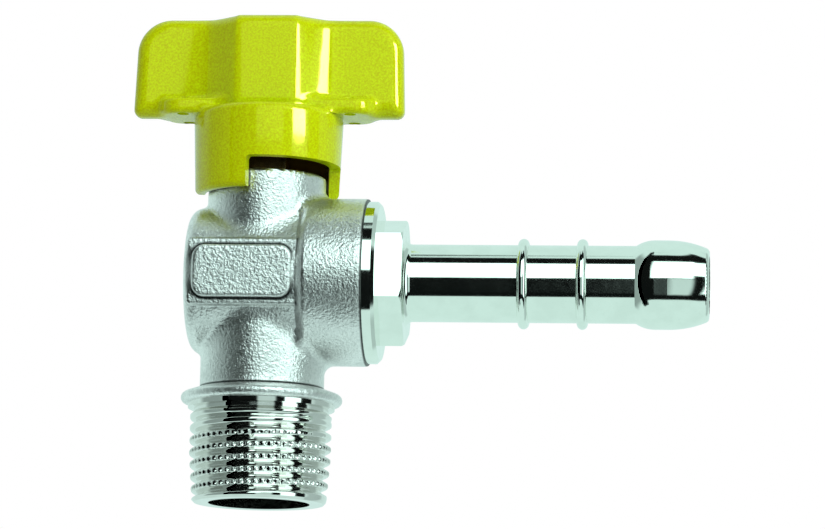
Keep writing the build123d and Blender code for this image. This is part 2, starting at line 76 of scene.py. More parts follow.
# %% [markdown]
# ## The camera
# A long lens stood a little to the right of the valve and below it, so the picture looks up under the handle
# and shows a sliver of the inlet's bore. A camera could be aimed with a constraint, but here its three axes
# are written out: right, up and backwards, turned by the small roll that the picture has.

# %% Camera
AZIMUTH, ELEVATION, ROLL = np.radians([5.3, -9.2, 1.26])
DISTANCE = 643.0
AIM = np.array([22.0, 0.0, 35.92])
PIXELS_PER_MM = 6.74
PICTURE_WIDTH = 825
SENSOR = 36.0
CLIP_NEAR, CLIP_FAR = 0.01, 20.0

towards_camera = np.array(
    [
        np.sin(AZIMUTH) * np.cos(ELEVATION),
        -np.cos(AZIMUTH) * np.cos(ELEVATION),
        np.sin(ELEVATION),
    ]
)
level_right = np.array([np.cos(AZIMUTH), np.sin(AZIMUTH), 0.0])
level_up = np.cross(towards_camera, level_right)
rolled_right = level_right * np.cos(ROLL) + level_up * np.sin(ROLL)
rolled_up = level_up * np.cos(ROLL) - level_right * np.sin(ROLL)

lens = bpy.data.cameras.new("camera")
lens.sensor_width = SENSOR
lens.lens = PIXELS_PER_MM * DISTANCE / PICTURE_WIDTH * SENSOR
lens.clip_start = CLIP_NEAR
lens.clip_end = CLIP_FAR
camera = bpy.data.objects.new("camera", lens)
scene.collection.objects.link(camera)
stand = (AIM + towards_camera * DISTANCE) * MM
axes = np.column_stack([rolled_right, rolled_up, towards_camera, stand])
camera.matrix_world = Matrix(np.vstack([axes, [0, 0, 0, 1]]))
scene.camera = camera
print("lens", round(lens.lens, 1), "mm, camera at", stand.round(3))

# %% [markdown]
# ## Shader sums
# A finish is a little formula: grain times a depth, plus some unevenness, and so on. Wiring each product by
# hand hides that formula, so one small class wraps a socket and lets Python's own operators add the Math nodes.
# A Mix node has sockets for numbers, vectors and colours side by side, so those for colours are named here.

# %% A socket that can be added and multiplied
MIX_SHARE, MIX_FIRST, MIX_SECOND, MIX_RESULT = 0, 6, 7, 2


class Value:
    """A node's output that takes part in sums: each operator adds one Math node to the tree."""

    def __init__(self, tree, socket=None):
        self.tree = tree
        self.socket = socket

    def node(self, kind, settings=None, sockets=None, output=0):
        """Adds a node: its settings come first, then each socket gets a number, a colour or a link."""
        made = self.tree.nodes.new(kind)
        for name, setting in (settings or {}).items():
            setattr(made, name, setting)
        for name, given in (sockets or {}).items():
            if isinstance(given, Value):
                self.tree.links.new(given.socket, made.inputs[name])
            else:
                made.inputs[name].default_value = given
        return Value(self.tree, made.outputs[output] if made.outputs else None)

    def math(self, operation, *others):
        """One Math node on this value and up to two more."""
        return self.node("ShaderNodeMath", {"operation": operation}, dict(enumerate((self, *others))))

    def __add__(self, other):
        return self.math("ADD", other)

    def __radd__(self, other):
        return self.math("ADD", other)

    def __mul__(self, other):
        return self.math("MULTIPLY", other)

    def __rmul__(self, other):
        return self.math("MULTIPLY", other)

    def __sub__(self, other):
        return self.math("SUBTRACT", other)

    def __rsub__(self, other):
        return self.node("ShaderNodeMath", {"operation": "SUBTRACT"}, {0: other, 1: self})

    def step(self, start, end):
        """Runs smoothly from 0 at start to 1 at end."""
        settings = {"interpolation_type": "SMOOTHSTEP"}
        return self.node("ShaderNodeMapRange", settings, {"Value": self, "From Min": start, "From Max": end})

    def blend(self, first, second):
        """Mixes two colours, given or linked, with this value as the share of the second."""
        start, end = (given if isinstance(given, Value) else (*given, 1) for given in (first, second))
        sockets = {MIX_SHARE: self, MIX_FIRST: start, MIX_SECOND: end}
        return self.node("ShaderNodeMix", {"data_type": "RGBA"}, sockets, MIX_RESULT)

    def feed(self, shader, socket):
        """Links this value to a shader's socket."""
        self.tree.links.new(self.socket, shader.inputs[socket])


print("shader sums ready:", [name for name in vars(Value) if not name.startswith("__")])

# %% [markdown]
# ## The studio
# Polished metal has hardly a look of its own: it shows the room. The tube in the picture tells the room's
# plan, because each height on its round side mirrors one direction. There is a big soft box above the camera
# with a low card under it, an upright box to the right, a dark room around the camera, and pale walls
# elsewhere with a shaded part on either side. Lamps and cards could be hung up for that; a world that paints
# these areas by compass direction is quieter and has clean edges. Mirrored rays alone see this room. It is a
# little green, so the plate itself can stay nearly neutral. The camera sees plain white, and matt surfaces
# get a soft warm light, stronger from the right.

# %% World
world = bpy.data.worlds.new("studio")
scene.world = world
world.use_nodes = True
world.node_tree.nodes.clear()
sky = Value(world.node_tree)
direction = sky.node("ShaderNodeTexCoord", output="Generated")
toward_x, toward_y, toward_z = (
    direction.node("ShaderNodeSeparateXYZ", sockets={0: direction}, output=axis) for axis in range(3)
)
compass = toward_x.math("ARCTAN2", toward_y * -1) * math.degrees(1)
height = toward_z.math("ARCSINE") * math.degrees(1)
EDGE = 1.2


def area(left, right, low, high, soft=EDGE):
    """Mask of a part of the room: degrees right of the front, and degrees above the horizon."""
    across = compass.step(left - soft, left + soft) * (1 - compass.step(right - soft, right + soft))
    upright = height.step(low - soft, low + soft) * (1 - height.step(high - soft, high + soft))
    return across * upright


WALL_LIGHT, ROOM_LIGHT = 0.88, 0.006
TOP_BOX_LIGHT, LOW_CARD_LIGHT, SIDE_BOX_LIGHT = 2.2, 0.75, 2.0
RIGHT_SHADE, LEFT_SHADE = 0.30, 0.50
dark_room = (
    area(left=-56, right=92, low=-46.6, high=74.4)
    + area(left=-60, right=-30, low=-58, high=-46.6)
    + area(left=-60, right=-30, low=74.4, high=84)
)
top_box = area(left=-12.5, right=29, low=9.7, high=54.4) + area(left=29, right=44, low=17, high=54.4)
low_card = area(left=1, right=29, low=-34, high=8.5, soft=2.5)
side_box = area(left=44, right=71, low=-30, high=52)
right_wall = area(left=98, right=140, low=-45, high=60, soft=6)
left_wall = area(left=-100, right=-54, low=-45, high=60, soft=8)
room = WALL_LIGHT - dark_room * (WALL_LIGHT - ROOM_LIGHT)
room = room - right_wall * RIGHT_SHADE - left_wall * LEFT_SHADE
room = room + top_box * TOP_BOX_LIGHT + low_card * LOW_CARD_LIGHT + side_box * SIDE_BOX_LIGHT

ray_kinds = ("Is Camera Ray", "Is Glossy Ray", "Is Transmission Ray")
seen, mirrored, through = (sky.node("ShaderNodeLightPath", output=kind) for kind in ray_kinds)
AMBIENT, LEAN = 0.42, 0.55
THROUGH_LIGHT = 0.9
WARM, GREEN, WHITE = (1.0, 0.82, 0.74), (0.76, 1.0, 0.95), (1.0, 1.0, 1.0)
matt_light = AMBIENT + AMBIENT * LEAN * toward_x
strength = mirrored * room + through * THROUGH_LIGHT + (1 - mirrored - through) * matt_light
strength = seen + (1 - seen) * strength
tint = seen.blend(mirrored.blend(WARM, GREEN), WHITE)
surround = sky.node("ShaderNodeBackground", sockets={"Color": tint, "Strength": strength})
sky.node("ShaderNodeOutputWorld", sockets={"Surface": surround})
print("world nodes:", len(world.node_tree.nodes))

# %% [markdown]
# ## Lamps and floor
# Two soft lamps stand where the soft boxes are and give the paint its light and dark sides. They hide from
# mirrored rays, because the world already shows the boxes. The floor is a plain pale sheet a little
# under the inlet. The camera looks up from below it, so its underside lets the view through.

# %% Lamps
LAMP_COLOUR = (0.93, 1.0, 0.90)
LAMP_REACH = 0.9


def soft_lamp(name, compass_degrees, height_degrees, size, watts):
    """A square area lamp at a compass direction and height, aimed at the valve's middle."""
    light = bpy.data.lights.new(name, "AREA")
    light.size = size
    light.energy = watts
    light.color = LAMP_COLOUR
    lamp = bpy.data.objects.new(name, light)
    scene.collection.objects.link(lamp)
    turn, rise = np.radians([compass_degrees, height_degrees])
    outward = np.array([np.sin(turn) * np.cos(rise), -np.cos(turn) * np.cos(rise), np.sin(rise)])
    sideways = np.array([np.cos(turn), np.sin(turn), 0.0])
    place = AIM * MM + outward * LAMP_REACH
    axes = np.column_stack([sideways, np.cross(outward, sideways), outward, place])
    lamp.matrix_world = Matrix(np.vstack([axes, [0, 0, 0, 1]]))
    lamp.visible_glossy = False
    return lamp


side_lamp = soft_lamp("side_lamp", compass_degrees=57, height_degrees=22, size=0.45, watts=3.6)
top_lamp = soft_lamp("top_lamp", compass_degrees=8, height_degrees=50, size=0.5, watts=3.0)
print("lamps:", side_lamp.name, top_lamp.name)

# %% Floor
FLOOR_LEVEL = -12.0
FLOOR_REACH = 1500.0
FLOOR_COLOUR = (0.86, 0.86, 0.86, 1)
corners = np.array([[-1, -1], [1, -1], [1, 1], [-1, 1]]) * FLOOR_REACH
floor_mesh = bpy.data.meshes.new("floor")
floor_mesh.from_pydata(np.column_stack([corners, np.full(len(corners), FLOOR_LEVEL)]) * MM, [], [(0, 1, 2, 3)])
floor = bpy.data.objects.new("floor", floor_mesh)
scene.collection.objects.link(floor)
floor.visible_glossy = False
paper = bpy.data.materials.new("floor_paper")
paper.use_nodes = True
paper.node_tree.nodes.clear()
sheet = Value(paper.node_tree)
sheet_colour = sheet.node("ShaderNodeBsdfDiffuse", sockets={"Color": FLOOR_COLOUR})
clear = sheet.node("ShaderNodeBsdfTransparent")
underside = sheet.node("ShaderNodeNewGeometry", output="Backfacing")
mixed = sheet.node("ShaderNodeMixShader", sockets={0: underside, 1: sheet_colour, 2: clear})
sheet.node("ShaderNodeOutputMaterial", sockets={"Surface": mixed})
floor_mesh.materials.append(paper)
print("floor at", FLOOR_LEVEL, "mm")

# %% [markdown]
# ## Surfaces from numbers
# Every new piece is a grid of points: one parameter runs along a profile, the other round an axis. The grid
# could be drawn face by face, but numpy works out all points at once and one helper turns any grid that
# closes round into a mesh. Rows that shrink to one point become closed poles.

# %% A mesh from a closed grid
POLE_MERGE = 1e-7


def closed_grid(name, points):
    """Mesh of a grid (row, column, xyz) in mm: columns wrap round, equal points of a pole row are merged."""
    rows, columns = points.shape[:2]
    index = np.arange(rows * columns).reshape(rows, columns)
    after = np.roll(index, -1, axis=1)
    quads = np.stack([index[:-1], after[:-1], after[1:], index[1:]], axis=-1).reshape(-1, 4)
    corners = points.reshape(-1, 3)[quads]
    spread = np.cross(corners[:, 2] - corners[:, 0], corners[:, 3] - corners[:, 1])
    if np.sum(spread * corners.mean(axis=1)) < 0:
        quads = quads[:, ::-1]
    mesh = bpy.data.meshes.new(name)
    mesh.from_pydata(points.reshape(-1, 3) * MM, [], quads)
    shell = bmesh.new()
    shell.from_mesh(mesh)
    bmesh.ops.remove_doubles(shell, verts=shell.verts, dist=POLE_MERGE)
    shell.to_mesh(mesh)
    shell.free()
    mesh.polygons.foreach_set("use_smooth", np.ones(len(mesh.polygons), bool))
    piece = bpy.data.objects.new(name, mesh)
    scene.collection.objects.link(piece)
    return piece


def turned(profile, columns, axis_height=None):
    """Points of a profile turned round: (radius, height) about the stem axis, or, with the outlet axis's
    height given, (distance, radius) about the outlet axis."""
    turn = np.linspace(0, 2 * np.pi, columns, endpoint=False)
    first, second = np.asarray(profile, float).T[:, :, None] + np.zeros(columns)
    if axis_height is None:
        return np.stack([first * np.cos(turn), first * np.sin(turn), second], axis=-1)
    return np.stack([first, second * np.cos(turn), axis_height + second * np.sin(turn)], axis=-1)


ARC_POINTS = 7


def arc(middle, radius, start, end, points=ARC_POINTS):
    """Points of an arc in a profile: its middle, its radius, and its first and last angle in degrees."""
    angle = np.radians(np.linspace(start, end, points))
    return np.column_stack([middle[0] + radius * np.cos(angle), middle[1] + radius * np.sin(angle)])


def combine(piece, other, operation):
    """Joins another closed piece to this one, or cuts it away, and keeps the result as plain mesh."""
    change = piece.modifiers.new("combine", "BOOLEAN")
    change.operation = operation
    change.solver = "MANIFOLD"
    change.object = other
    bpy.context.view_layer.update()
    graph = bpy.context.evaluated_depsgraph_get()
    result = bpy.data.meshes.new_from_object(piece.evaluated_get(graph))
    piece.modifiers.clear()
    old = piece.data
    piece.data = result
    result.name = old.name
    bpy.data.meshes.remove(old)
    bpy.data.meshes.remove(other.data)
    return piece


print("grid helpers ready")

# %% [markdown]
# ## The forged body
# On the real valve the barrel, the collar and the two necks are pressed from one hot billet, so they flow
# into each other with soft fillets. CAD edges meet sharply there. A remesh would blur the crisp panel too.
# So the body is written as a distance: each bar gives its own distance, and a rolling-ball sum joins them
# with a true fillet. Rays from the ball's centre then find where that distance is zero.

# %% Sizes of the forging
AXIS = 33.1
BARREL_R, BARREL_BACK, BARREL_EDGE = 10.9, 10.951, 2.0
COLLAR_R, COLLAR_START, JOINT_FACE, COLLAR_EDGE = 12.45, 6.201, 15.601, 1.0
UPPER_NECK_R, NECK_TOP, NECK_RIM = 8.75, 15.7, 0.45
LOWER_NECK_R, NECK_FOOT = 9.2, 17.6
NECK_FILLET = 0.8
COLLAR_FILLET = 1.5
SHOULDER_FILLET = 0.35
print("forging", 2 * COLLAR_R, "mm across the collar")


# %% Distances of simple forms
def ramp(value, start, end):
    """0 before start, 1 after end, and a smooth step between."""
    share = np.clip((value - start) / (end - start), 0, 1)
    return share * share * (3 - 2 * share)


def bar(along, across, start, end, radius, start_edge, end_edge):
    """Distance to a round bar between two ends, whose edges are rounded by their own radii: the distance to
    a box in the plane of length and radius, less the edge's radius."""
    middle = (start + end) / 2
    edge = np.where(along < middle, start_edge, end_edge)
    outside = across - (radius - edge)
    beyond = np.abs(along - middle) - ((end - start) / 2 - edge)
    corner = np.hypot(np.maximum(outside, 0), np.maximum(beyond, 0))
    return corner + np.minimum(np.maximum(outside, beyond), 0) - edge


def flowing(first, second, radius):
    """Union of two distances, with a ball of that radius rolled along the inner corner."""
    corner = np.hypot(np.maximum(radius - first, 0), np.maximum(radius - second, 0))
    return np.maximum(radius, np.minimum(first, second)) - corner


def rounded(first, second, radius):
    """Distance to where two forms overlap, with the outer corner between them rounded."""
    corner = np.hypot(np.maximum(first + radius, 0), np.maximum(second + radius, 0))
    return corner + np.minimum(np.maximum(first, second) + radius, 0) - radius


def slab(x, y, z, left, right, half_height, corner, face, edge):
    """Distance to a slab on both sides of the barrel: a rounded rectangle, cut by a face with a round edge."""
    sides = np.abs(x - (left + right) / 2) - (right - left) / 2
    ends = np.abs(z) - half_height
    return rounded(rounded(sides, ends, corner), np.abs(y) - face, edge)


PLINTH_LEFT, PLINTH_HALF, PLINTH_CORNER, PLINTH_FACE, PLINTH_ROUND = -10.301, 4.9, 0.6, 10.35, 0.3
PANEL_LEFT, PANEL_RIGHT, PANEL_HALF, PANEL_CORNER, PANEL_FACE = -9.501, 5.201, 3.9, 1.9, 11.2
PANEL_EDGE, PANEL_ROUND = 0.45, 0.15
LUG_REACH, LUG_HALF_ANGLE = 10.1, np.radians(10.0)
HIDDEN_EDGE, MOUTH_EDGE, OVERLAP = 0.1, 0.25, 1.0


def lug(x, y, z):
    """Distance to the stop lug behind the upper neck: two radial sides, an outer face and a top."""
    side = (np.abs(x) - y * np.tan(LUG_HALF_ANGLE)) * np.cos(LUG_HALF_ANGLE)
    return np.maximum(np.maximum(side, y - LUG_REACH), np.maximum(z - NECK_TOP, -z))


def members(x, y, z):
    """Distances to barrel, collar, upper neck, lower neck, plinth and panel, from the ball's centre."""
    around_x = np.hypot(y, z)
    around_z = np.hypot(x, y)
    barrel = bar(x, around_x, -BARREL_BACK, JOINT_FACE - OVERLAP, BARREL_R, BARREL_EDGE, HIDDEN_EDGE)
    collar = bar(x, around_x, COLLAR_START, JOINT_FACE, COLLAR_R, COLLAR_EDGE, MOUTH_EDGE)
    upper = np.maximum(bar(z, around_z, -NECK_TOP, NECK_TOP, UPPER_NECK_R, HIDDEN_EDGE, NECK_RIM), -z)
    lower = np.maximum(bar(z, around_z, -NECK_FOOT, NECK_FOOT, LOWER_NECK_R, HIDDEN_EDGE, HIDDEN_EDGE), z)
    plinth_right = COLLAR_START + OVERLAP
    plinth = slab(x, y, z, PLINTH_LEFT, plinth_right, PLINTH_HALF, PLINTH_CORNER, PLINTH_FACE, PLINTH_ROUND)
    panel = slab(x, y, z, PANEL_LEFT, PANEL_RIGHT, PANEL_HALF, PANEL_CORNER, PANEL_FACE, PANEL_EDGE)
    return barrel, collar, upper, lower, plinth, panel


def forging(x, y, z):
    """Distance to the whole forging: its members, joined one by one with fillets."""
    barrel, collar, upper, lower, plinth, panel = members(x, y, z)
    form = flowing(barrel, collar, SHOULDER_FILLET)
    fillet = NECK_FILLET + (COLLAR_FILLET - NECK_FILLET) * ramp(x, 0, COLLAR_START)
    form = flowing(form, upper, fillet)
    form = flowing(form, lower, fillet)
    form = flowing(form, plinth, PLINTH_ROUND)
    form = flowing(form, panel, PANEL_ROUND)
    return flowing(form, lug(x, y, z), PLINTH_ROUND)


# %% The skin of the forging
SPIGOT_BORE_R = 10.05
REACH = 34.0
STEPS = 90
PANEL_CROWDING = 0.25


def skin(rows, columns):
    """Points of the outer skin: from the ball's centre, a ray for each angle from the outlet axis and each
    turn about it, crowded towards the panels; from outside, each point slides inwards by its own distance
    until it lies on the form."""
    opening = np.arctan2(SPIGOT_BORE_R, JOINT_FACE)
    angle = np.linspace(opening, np.pi, rows)[:, None]
    even = np.linspace(0, 2 * np.pi, columns, endpoint=False)[None, :]
    turn = even - PANEL_CROWDING * np.sin(2 * even)
    ray = np.stack([np.cos(angle) + 0 * turn, np.sin(angle) * np.cos(turn), np.sin(angle) * np.sin(turn)])
    reach = np.full(ray.shape[1:], REACH)
    for _ in range(STEPS):
        reach = reach - forging(*(ray * reach))
    return np.moveaxis(ray * reach, 0, -1) + (0, 0, AXIS)


SKIN_ROWS, SKIN_COLUMNS = 180, 310
outer = skin(SKIN_ROWS, SKIN_COLUMNS)
CHAMBER_R, POCKET_R, SEAT_BACK, SEAT_LIP_X, SPIGOT_STOP = 8.9, 7.85, 8.651, 7.051, 7.001
inner_profile = [
    (-SEAT_BACK, 0),
    (-SEAT_BACK, POCKET_R),
    (-SEAT_LIP_X, POCKET_R),
    (-SEAT_LIP_X, CHAMBER_R),
    (SPIGOT_STOP, CHAMBER_R),
    (SPIGOT_STOP, SPIGOT_BORE_R),
]
inner = turned(inner_profile, SKIN_COLUMNS, AXIS)
body = closed_grid("forged_body", np.vstack([inner, outer]))
print("forging:", len(body.data.polygons), "faces")

# %% [markdown]
# ## Flange and inlet thread
# The inlet is a taper pipe thread, turned after forging, with crests that are knurled into beads so that the
# sealing hemp holds. It could be a helix curve with a bevel; here the radius itself is a formula of turn and
# height, a groove whose phase runs along the helix, so flange, thread and chamfer are one sheet.

# %% Thread
PITCH = 1.814
THREAD_R, TIP_R, TAPER_TOP = 10.4775, 9.95, 6.9
THREAD_FOOT, THREAD_TOP, THREAD_ROWS = 0.35, 12.9, 84
GROOVE_DEPTH, GROOVE_POWER = 0.95, 2.0
GROOVE_START, GROOVE_FULL = 0.1, 1.2
GROOVE_FADE, GROOVE_END = THREAD_TOP - 1.4, THREAD_TOP - 0.1
BEADS, BEAD_COLUMNS = 56, 6
BEAD_DEPTH, BEAD_POWER, CREST_POWER = 0.38, 1.5, 5.0
KNURL_START, KNURL_FULL, KNURL_FADE, KNURL_END = 0.9, 1.7, 9.1, 9.9


def thread_radius(turn, height):
    """Crest radius less a rounded groove. The groove is a power of a cosine wave, whose phase is height over
    pitch less turns, and it fades at both ends. The crest line is a high power of the opposite wave: along it,
    where the turns are knurled, the crest sinks between beads with a second cosine wave that runs round."""
    crest = TIP_R + (THREAD_R - TIP_R) * np.clip(height / TAPER_TOP, 0, 1)
    phase = height / PITCH - turn / (2 * np.pi)
    groove = (0.5 + 0.5 * np.cos(2 * np.pi * phase)) ** GROOVE_POWER
    crest_line = (0.5 - 0.5 * np.cos(2 * np.pi * phase)) ** CREST_POWER
    fade = ramp(height, GROOVE_START, GROOVE_FULL) * (1 - ramp(height, GROOVE_FADE, GROOVE_END))
    knurled = ramp(height, KNURL_START, KNURL_FULL) * (1 - ramp(height, KNURL_FADE, KNURL_END))
    between = (0.5 + 0.5 * np.cos(BEADS * turn)) ** BEAD_POWER
    return crest - GROOVE_DEPTH * groove * fade - BEAD_DEPTH * between * crest_line * knurled


columns = BEADS * BEAD_COLUMNS
turn = np.linspace(0, 2 * np.pi, columns, endpoint=False)
level = np.linspace(THREAD_FOOT, THREAD_TOP, THREAD_ROWS)[:, None]
radius = thread_radius(turn[None, :], level)
thread = np.stack([radius * np.cos(turn), radius * np.sin(turn), level + 0 * turn], axis=-1)
print("thread:", thread.shape[:2], "rows and columns")

# %% Flange above the thread
FLANGE_R, FLANGE_FOOT, RIM_R, RIM_POINTS = 11.95, 14.7, 0.8, 12
RIM_START = 72
NECK_ROUND, NECK_ROUND_R, NECK_ROUND_LEVEL, NECK_POINTS = 0.5, 9.7, 17.35, 6
STEP_R, STEP_TOP, STEP_FOOT_R, STEP_FOOT = 10.9, 14.65, 10.85, 14.0
UNDERCUT_R, UNDERCUT_TOP, UNDERCUT_FOOT = 9.98, 13.9, 13.4
HEAD_R, HEAD_TOP = 9.1, 17.5
CHAMFER_R = 9.6
rim = arc((FLANGE_R - RIM_R, FLANGE_FOOT + RIM_R), RIM_R, RIM_START, -90, RIM_POINTS)
neck_round = arc((NECK_ROUND_R, NECK_ROUND_LEVEL), NECK_ROUND, 180, 270, NECK_POINTS)
step = [(STEP_R, STEP_TOP), (STEP_FOOT_R, STEP_FOOT)]
undercut = [(UNDERCUT_R, UNDERCUT_TOP), (UNDERCUT_R, UNDERCUT_FOOT)]
head = np.vstack([[(0, HEAD_TOP), (HEAD_R, HEAD_TOP)], neck_round, rim, step, undercut])
inlet = np.vstack([turned([(0, 0), (CHAMFER_R, 0)], columns), thread, turned(head[::-1], columns)])
inlet_piece = closed_grid("inlet_thread", inlet)
print("inlet:", len(inlet_piece.data.polygons), "faces")

# %% [markdown]
# ## One closed body
# On the real valve the flange is forged with the body, and thread and bores are cut from it. Pieces that only
# overlap would do for a picture, but a printed or measured body has to be one closed skin. So the inlet is
# joined to the forging, and one turned tool cuts the gas way from below and the stem's bore above it.

# %% One closed body
BORE_COLUMNS, BORE_LOW, BORE_HIGH = 180, -5, 20
INLET_BORE_R, INLET_BORE_TOP, PORT_R = 7.5, 16.0, 6.0
STEM_POCKET_R, STEM_POCKET_TOP, STEM_BORE_R = 5.6, 11.6, 4.05
SHARP_ANGLE = math.radians(38)
bore_profile = [
    (0, BORE_LOW),
    (INLET_BORE_R, BORE_LOW),
    (INLET_BORE_R, INLET_BORE_TOP),
    (PORT_R, INLET_BORE_TOP),
    (PORT_R, AXIS),
    (STEM_POCKET_R, AXIS),
    (STEM_POCKET_R, AXIS + STEM_POCKET_TOP),
    (STEM_BORE_R, AXIS + STEM_POCKET_TOP),
    (STEM_BORE_R, AXIS + BORE_HIGH),
    (0, AXIS + BORE_HIGH),
]
bores = closed_grid("bores", turned(bore_profile, BORE_COLUMNS))
combine(body, inlet_piece, "UNION")
combine(body, bores, "DIFFERENCE")
body.data.set_sharp_from_angle(angle=SHARP_ANGLE)
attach(body, "valve_body")
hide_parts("body")
print("body:", len(body.data.polygons), "faces,", len(body.data.vertices), "points")

# %% [markdown]
# ## Painted shade in the creases
# The inner corners round the panel, behind the collar, above the flange and where the connector meets the
# collar are painted nearly black as shade. A texture could be painted for that. The distances already know
# these
# corners: where two forms meet, both distances are small. That number is kept on the points, for the finish
# to read.

# %% Painted crease shade
CREASE_SHADE_WIDTH, NARROW_CREASE_SHADE_WIDTH, PLINTH_CREASE_SHADE_SHARE = 0.65, 0.4, 0.5
FLANGE_CREASE_R, FLANGE_CREASE_LEVEL = 9.35, 17.0


def crease_shade(first, second, width):
    """1 in the corner where two forms meet, falling to 0 at a width from it."""
    return np.clip(1 - np.hypot(first, second) / width, 0, 1)


places = np.empty(3 * len(body.data.vertices))
body.data.vertices.foreach_get("co", places)
x, y, z = (places.reshape(-1, 3) / MM - (0, 0, AXIS)).T
barrel, collar, upper, lower, plinth, panel = members(x, y, z)
# Painted shade: these shares darken the inner corners nearly to black in the finish below.
painted_crease_shade = np.maximum(crease_shade(panel, plinth, CREASE_SHADE_WIDTH), crease_shade(collar, np.minimum(barrel, plinth), CREASE_SHADE_WIDTH))
painted_crease_shade = np.maximum(painted_crease_shade, PLINTH_CREASE_SHADE_SHARE * crease_shade(plinth, barrel, NARROW_CREASE_SHADE_WIDTH))
painted_crease_shade = np.maximum(painted_crease_shade, crease_shade(collar, JOINT_FACE - x, NARROW_CREASE_SHADE_WIDTH))
above_flange = z + AXIS - FLANGE_CREASE_LEVEL
painted_crease_shade = np.maximum(painted_crease_shade, crease_shade(np.hypot(x, y) - FLANGE_CREASE_R, above_flange, NARROW_CREASE_SHADE_WIDTH))
body.data.attributes.new("crease_shade", "FLOAT", "POINT").data.foreach_set("value", painted_crease_shade)
print("points in seams:", int((painted_crease_shade > 0).sum()))

# %% [markdown]
# ## The handle
# The handle is a die casting, and die castings have no sharp edge: hub, wings and wire pads melt into one
# another, because the metal has to flow and the casting has to leave its mould. Bevels on a box model would
# round only the outer edges. Here the half thickness of the grip is worked out for every place of its front
# view from the same rolling-ball distances, and the front and back sheets meet along the outline.

# %% Distance to the grip
WING_REACH, WING_HALF, WING_BOTTOM, WING_TOP = 20.4, 2.3, 24.75, 39.65
WING_DRAFT = math.tan(math.radians(2.0))
TOP_CORNER, BOTTOM_CORNER, GRIP_EDGE = 5.0, 1.2, 2.0
HUB_DEPTH, HUB_FRONT, WING_ROOT = 6.3, 4.5, 9.2
FRONT_BEND, ROOT_BEND, BEND_LOW, BEND_TOP = 0.5, 1.4, 1.3, 0.6
PAD_REACH, PAD_HALF, PAD_TOP, PAD_CORNER, PAD_EDGE = 16.0, 4.9, 27.15, 3.0, 0.8
CROWN_R, CROWN_TOP, CROWN_ROUND = 11.15, 25.4, 1.2
SINK = 0.02
CAST_FILLET = 1.0


def grip(x, y, z):
    """Distance to the grip. Its front view is a slab with drafted ends and rounded corners, its plan swells
    from wing to hub along a slope that bends like a hyperbola at both ends, wider towards the skirt, and pads
    and crown join it with cast fillets."""
    reach = WING_REACH - (z - WING_BOTTOM) * WING_DRAFT
    middle = (WING_TOP + WING_BOTTOM) / 2
    upright = np.abs(z - middle) - (WING_TOP - WING_BOTTOM) / 2
    outline = rounded(np.abs(x) - reach, upright, np.where(z > middle, TOP_CORNER, BOTTOM_CORNER))
    past_front, past_root = np.abs(x) - HUB_FRONT, np.abs(x) - WING_ROOT
    rise = np.clip((z - WING_BOTTOM) / (WING_TOP - WING_BOTTOM), 0, 1)
    spread = BEND_LOW + (BEND_TOP - BEND_LOW) * rise
    front_bend = np.hypot(past_front, FRONT_BEND * spread)
    root_bend = np.hypot(past_root, ROOT_BEND * spread)
    steepness = (HUB_DEPTH - WING_HALF) / (WING_ROOT - HUB_FRONT)
    slope = steepness * (past_front / front_bend - past_root / root_bend) / 2
    depth = HUB_DEPTH - steepness * (past_front + front_bend - past_root - root_bend) / 2
    form = rounded(outline, (np.abs(y) - depth) / np.sqrt(1 + slope**2), GRIP_EDGE)
    pad_plan = rounded(np.abs(x) - PAD_REACH, np.abs(y) - PAD_HALF, PAD_CORNER)
    pad_level = np.abs(z - (PAD_TOP + WING_BOTTOM) / 2) - (PAD_TOP - WING_BOTTOM) / 2
    form = flowing(form, rounded(pad_plan, pad_level, PAD_EDGE), CAST_FILLET)
    crown = rounded(np.hypot(x, y) - CROWN_R + SINK, z - CROWN_TOP + SINK, CROWN_ROUND)
    return np.maximum(flowing(form, crown, CAST_FILLET), WING_BOTTOM - z)


print("grip:", 2 * WING_REACH, "mm wide")

# %% The grip's two sheets
SPINE_HALF, SPINE_HEIGHT = 13.0, 32.2
ALONG, AROUND, LAYERS = 150, 70, 46
GRIP_START, GRIP_STEPS, CARE = 16.0, 110, 0.85


def grip_sheet():
    """Points of the grip: rays leave a level spine in the front view and run to the outline. Along each ray
    the points crowd towards the rim, like a sine, and each one slides from the front until it touches."""
    straight = np.linspace(SPINE_HALF, -SPINE_HALF, ALONG)
    bend = np.linspace(0, np.pi, AROUND + 2)[1:-1]
    ends = np.full(AROUND, SPINE_HALF)
    foot = np.concatenate([straight, -ends, straight[::-1], ends])
    aim = np.concatenate([np.full(ALONG, 0), bend, np.full(ALONG, np.pi), np.pi + bend])
    step_x, step_z = -np.sin(aim), np.cos(aim)
    reach = np.full(foot.shape, 2 * GRIP_START)
    for _ in range(GRIP_STEPS):
        reach = reach - CARE * grip(foot + step_x * reach, 0 * reach, SPINE_HEIGHT + step_z * reach)
    share = np.sin(np.linspace(0, np.pi / 2, LAYERS))[:, None]
    x = foot + step_x * reach * share
    z = SPINE_HEIGHT + step_z * reach * share
    front = np.full(x.shape, -GRIP_START)
    for _ in range(GRIP_STEPS):
        front = np.minimum(front + CARE * grip(x, front, z), 0)
    sheet = np.stack([x, front, AXIS + z], axis=-1)
    return np.vstack([sheet, sheet[::-1] * (1, -1, 1)])


handle = closed_grid("cast_handle", grip_sheet())
print("grip:", len(handle.data.polygons), "faces")

# %% [markdown]
# ## Skirt, notches and holes
# The skirt below the grip is turned from one profile: a hollow cup with a rounded shoulder and rim. Two wide
# notches let the stop lug on the neck travel a quarter turn. Each notch is a patch of turn and height, pushed
# through the wall, so its corners can be rounded too. A square socket sits on the stem, a round well above it
# takes the screw, and four small holes in the pads take a seal wire.

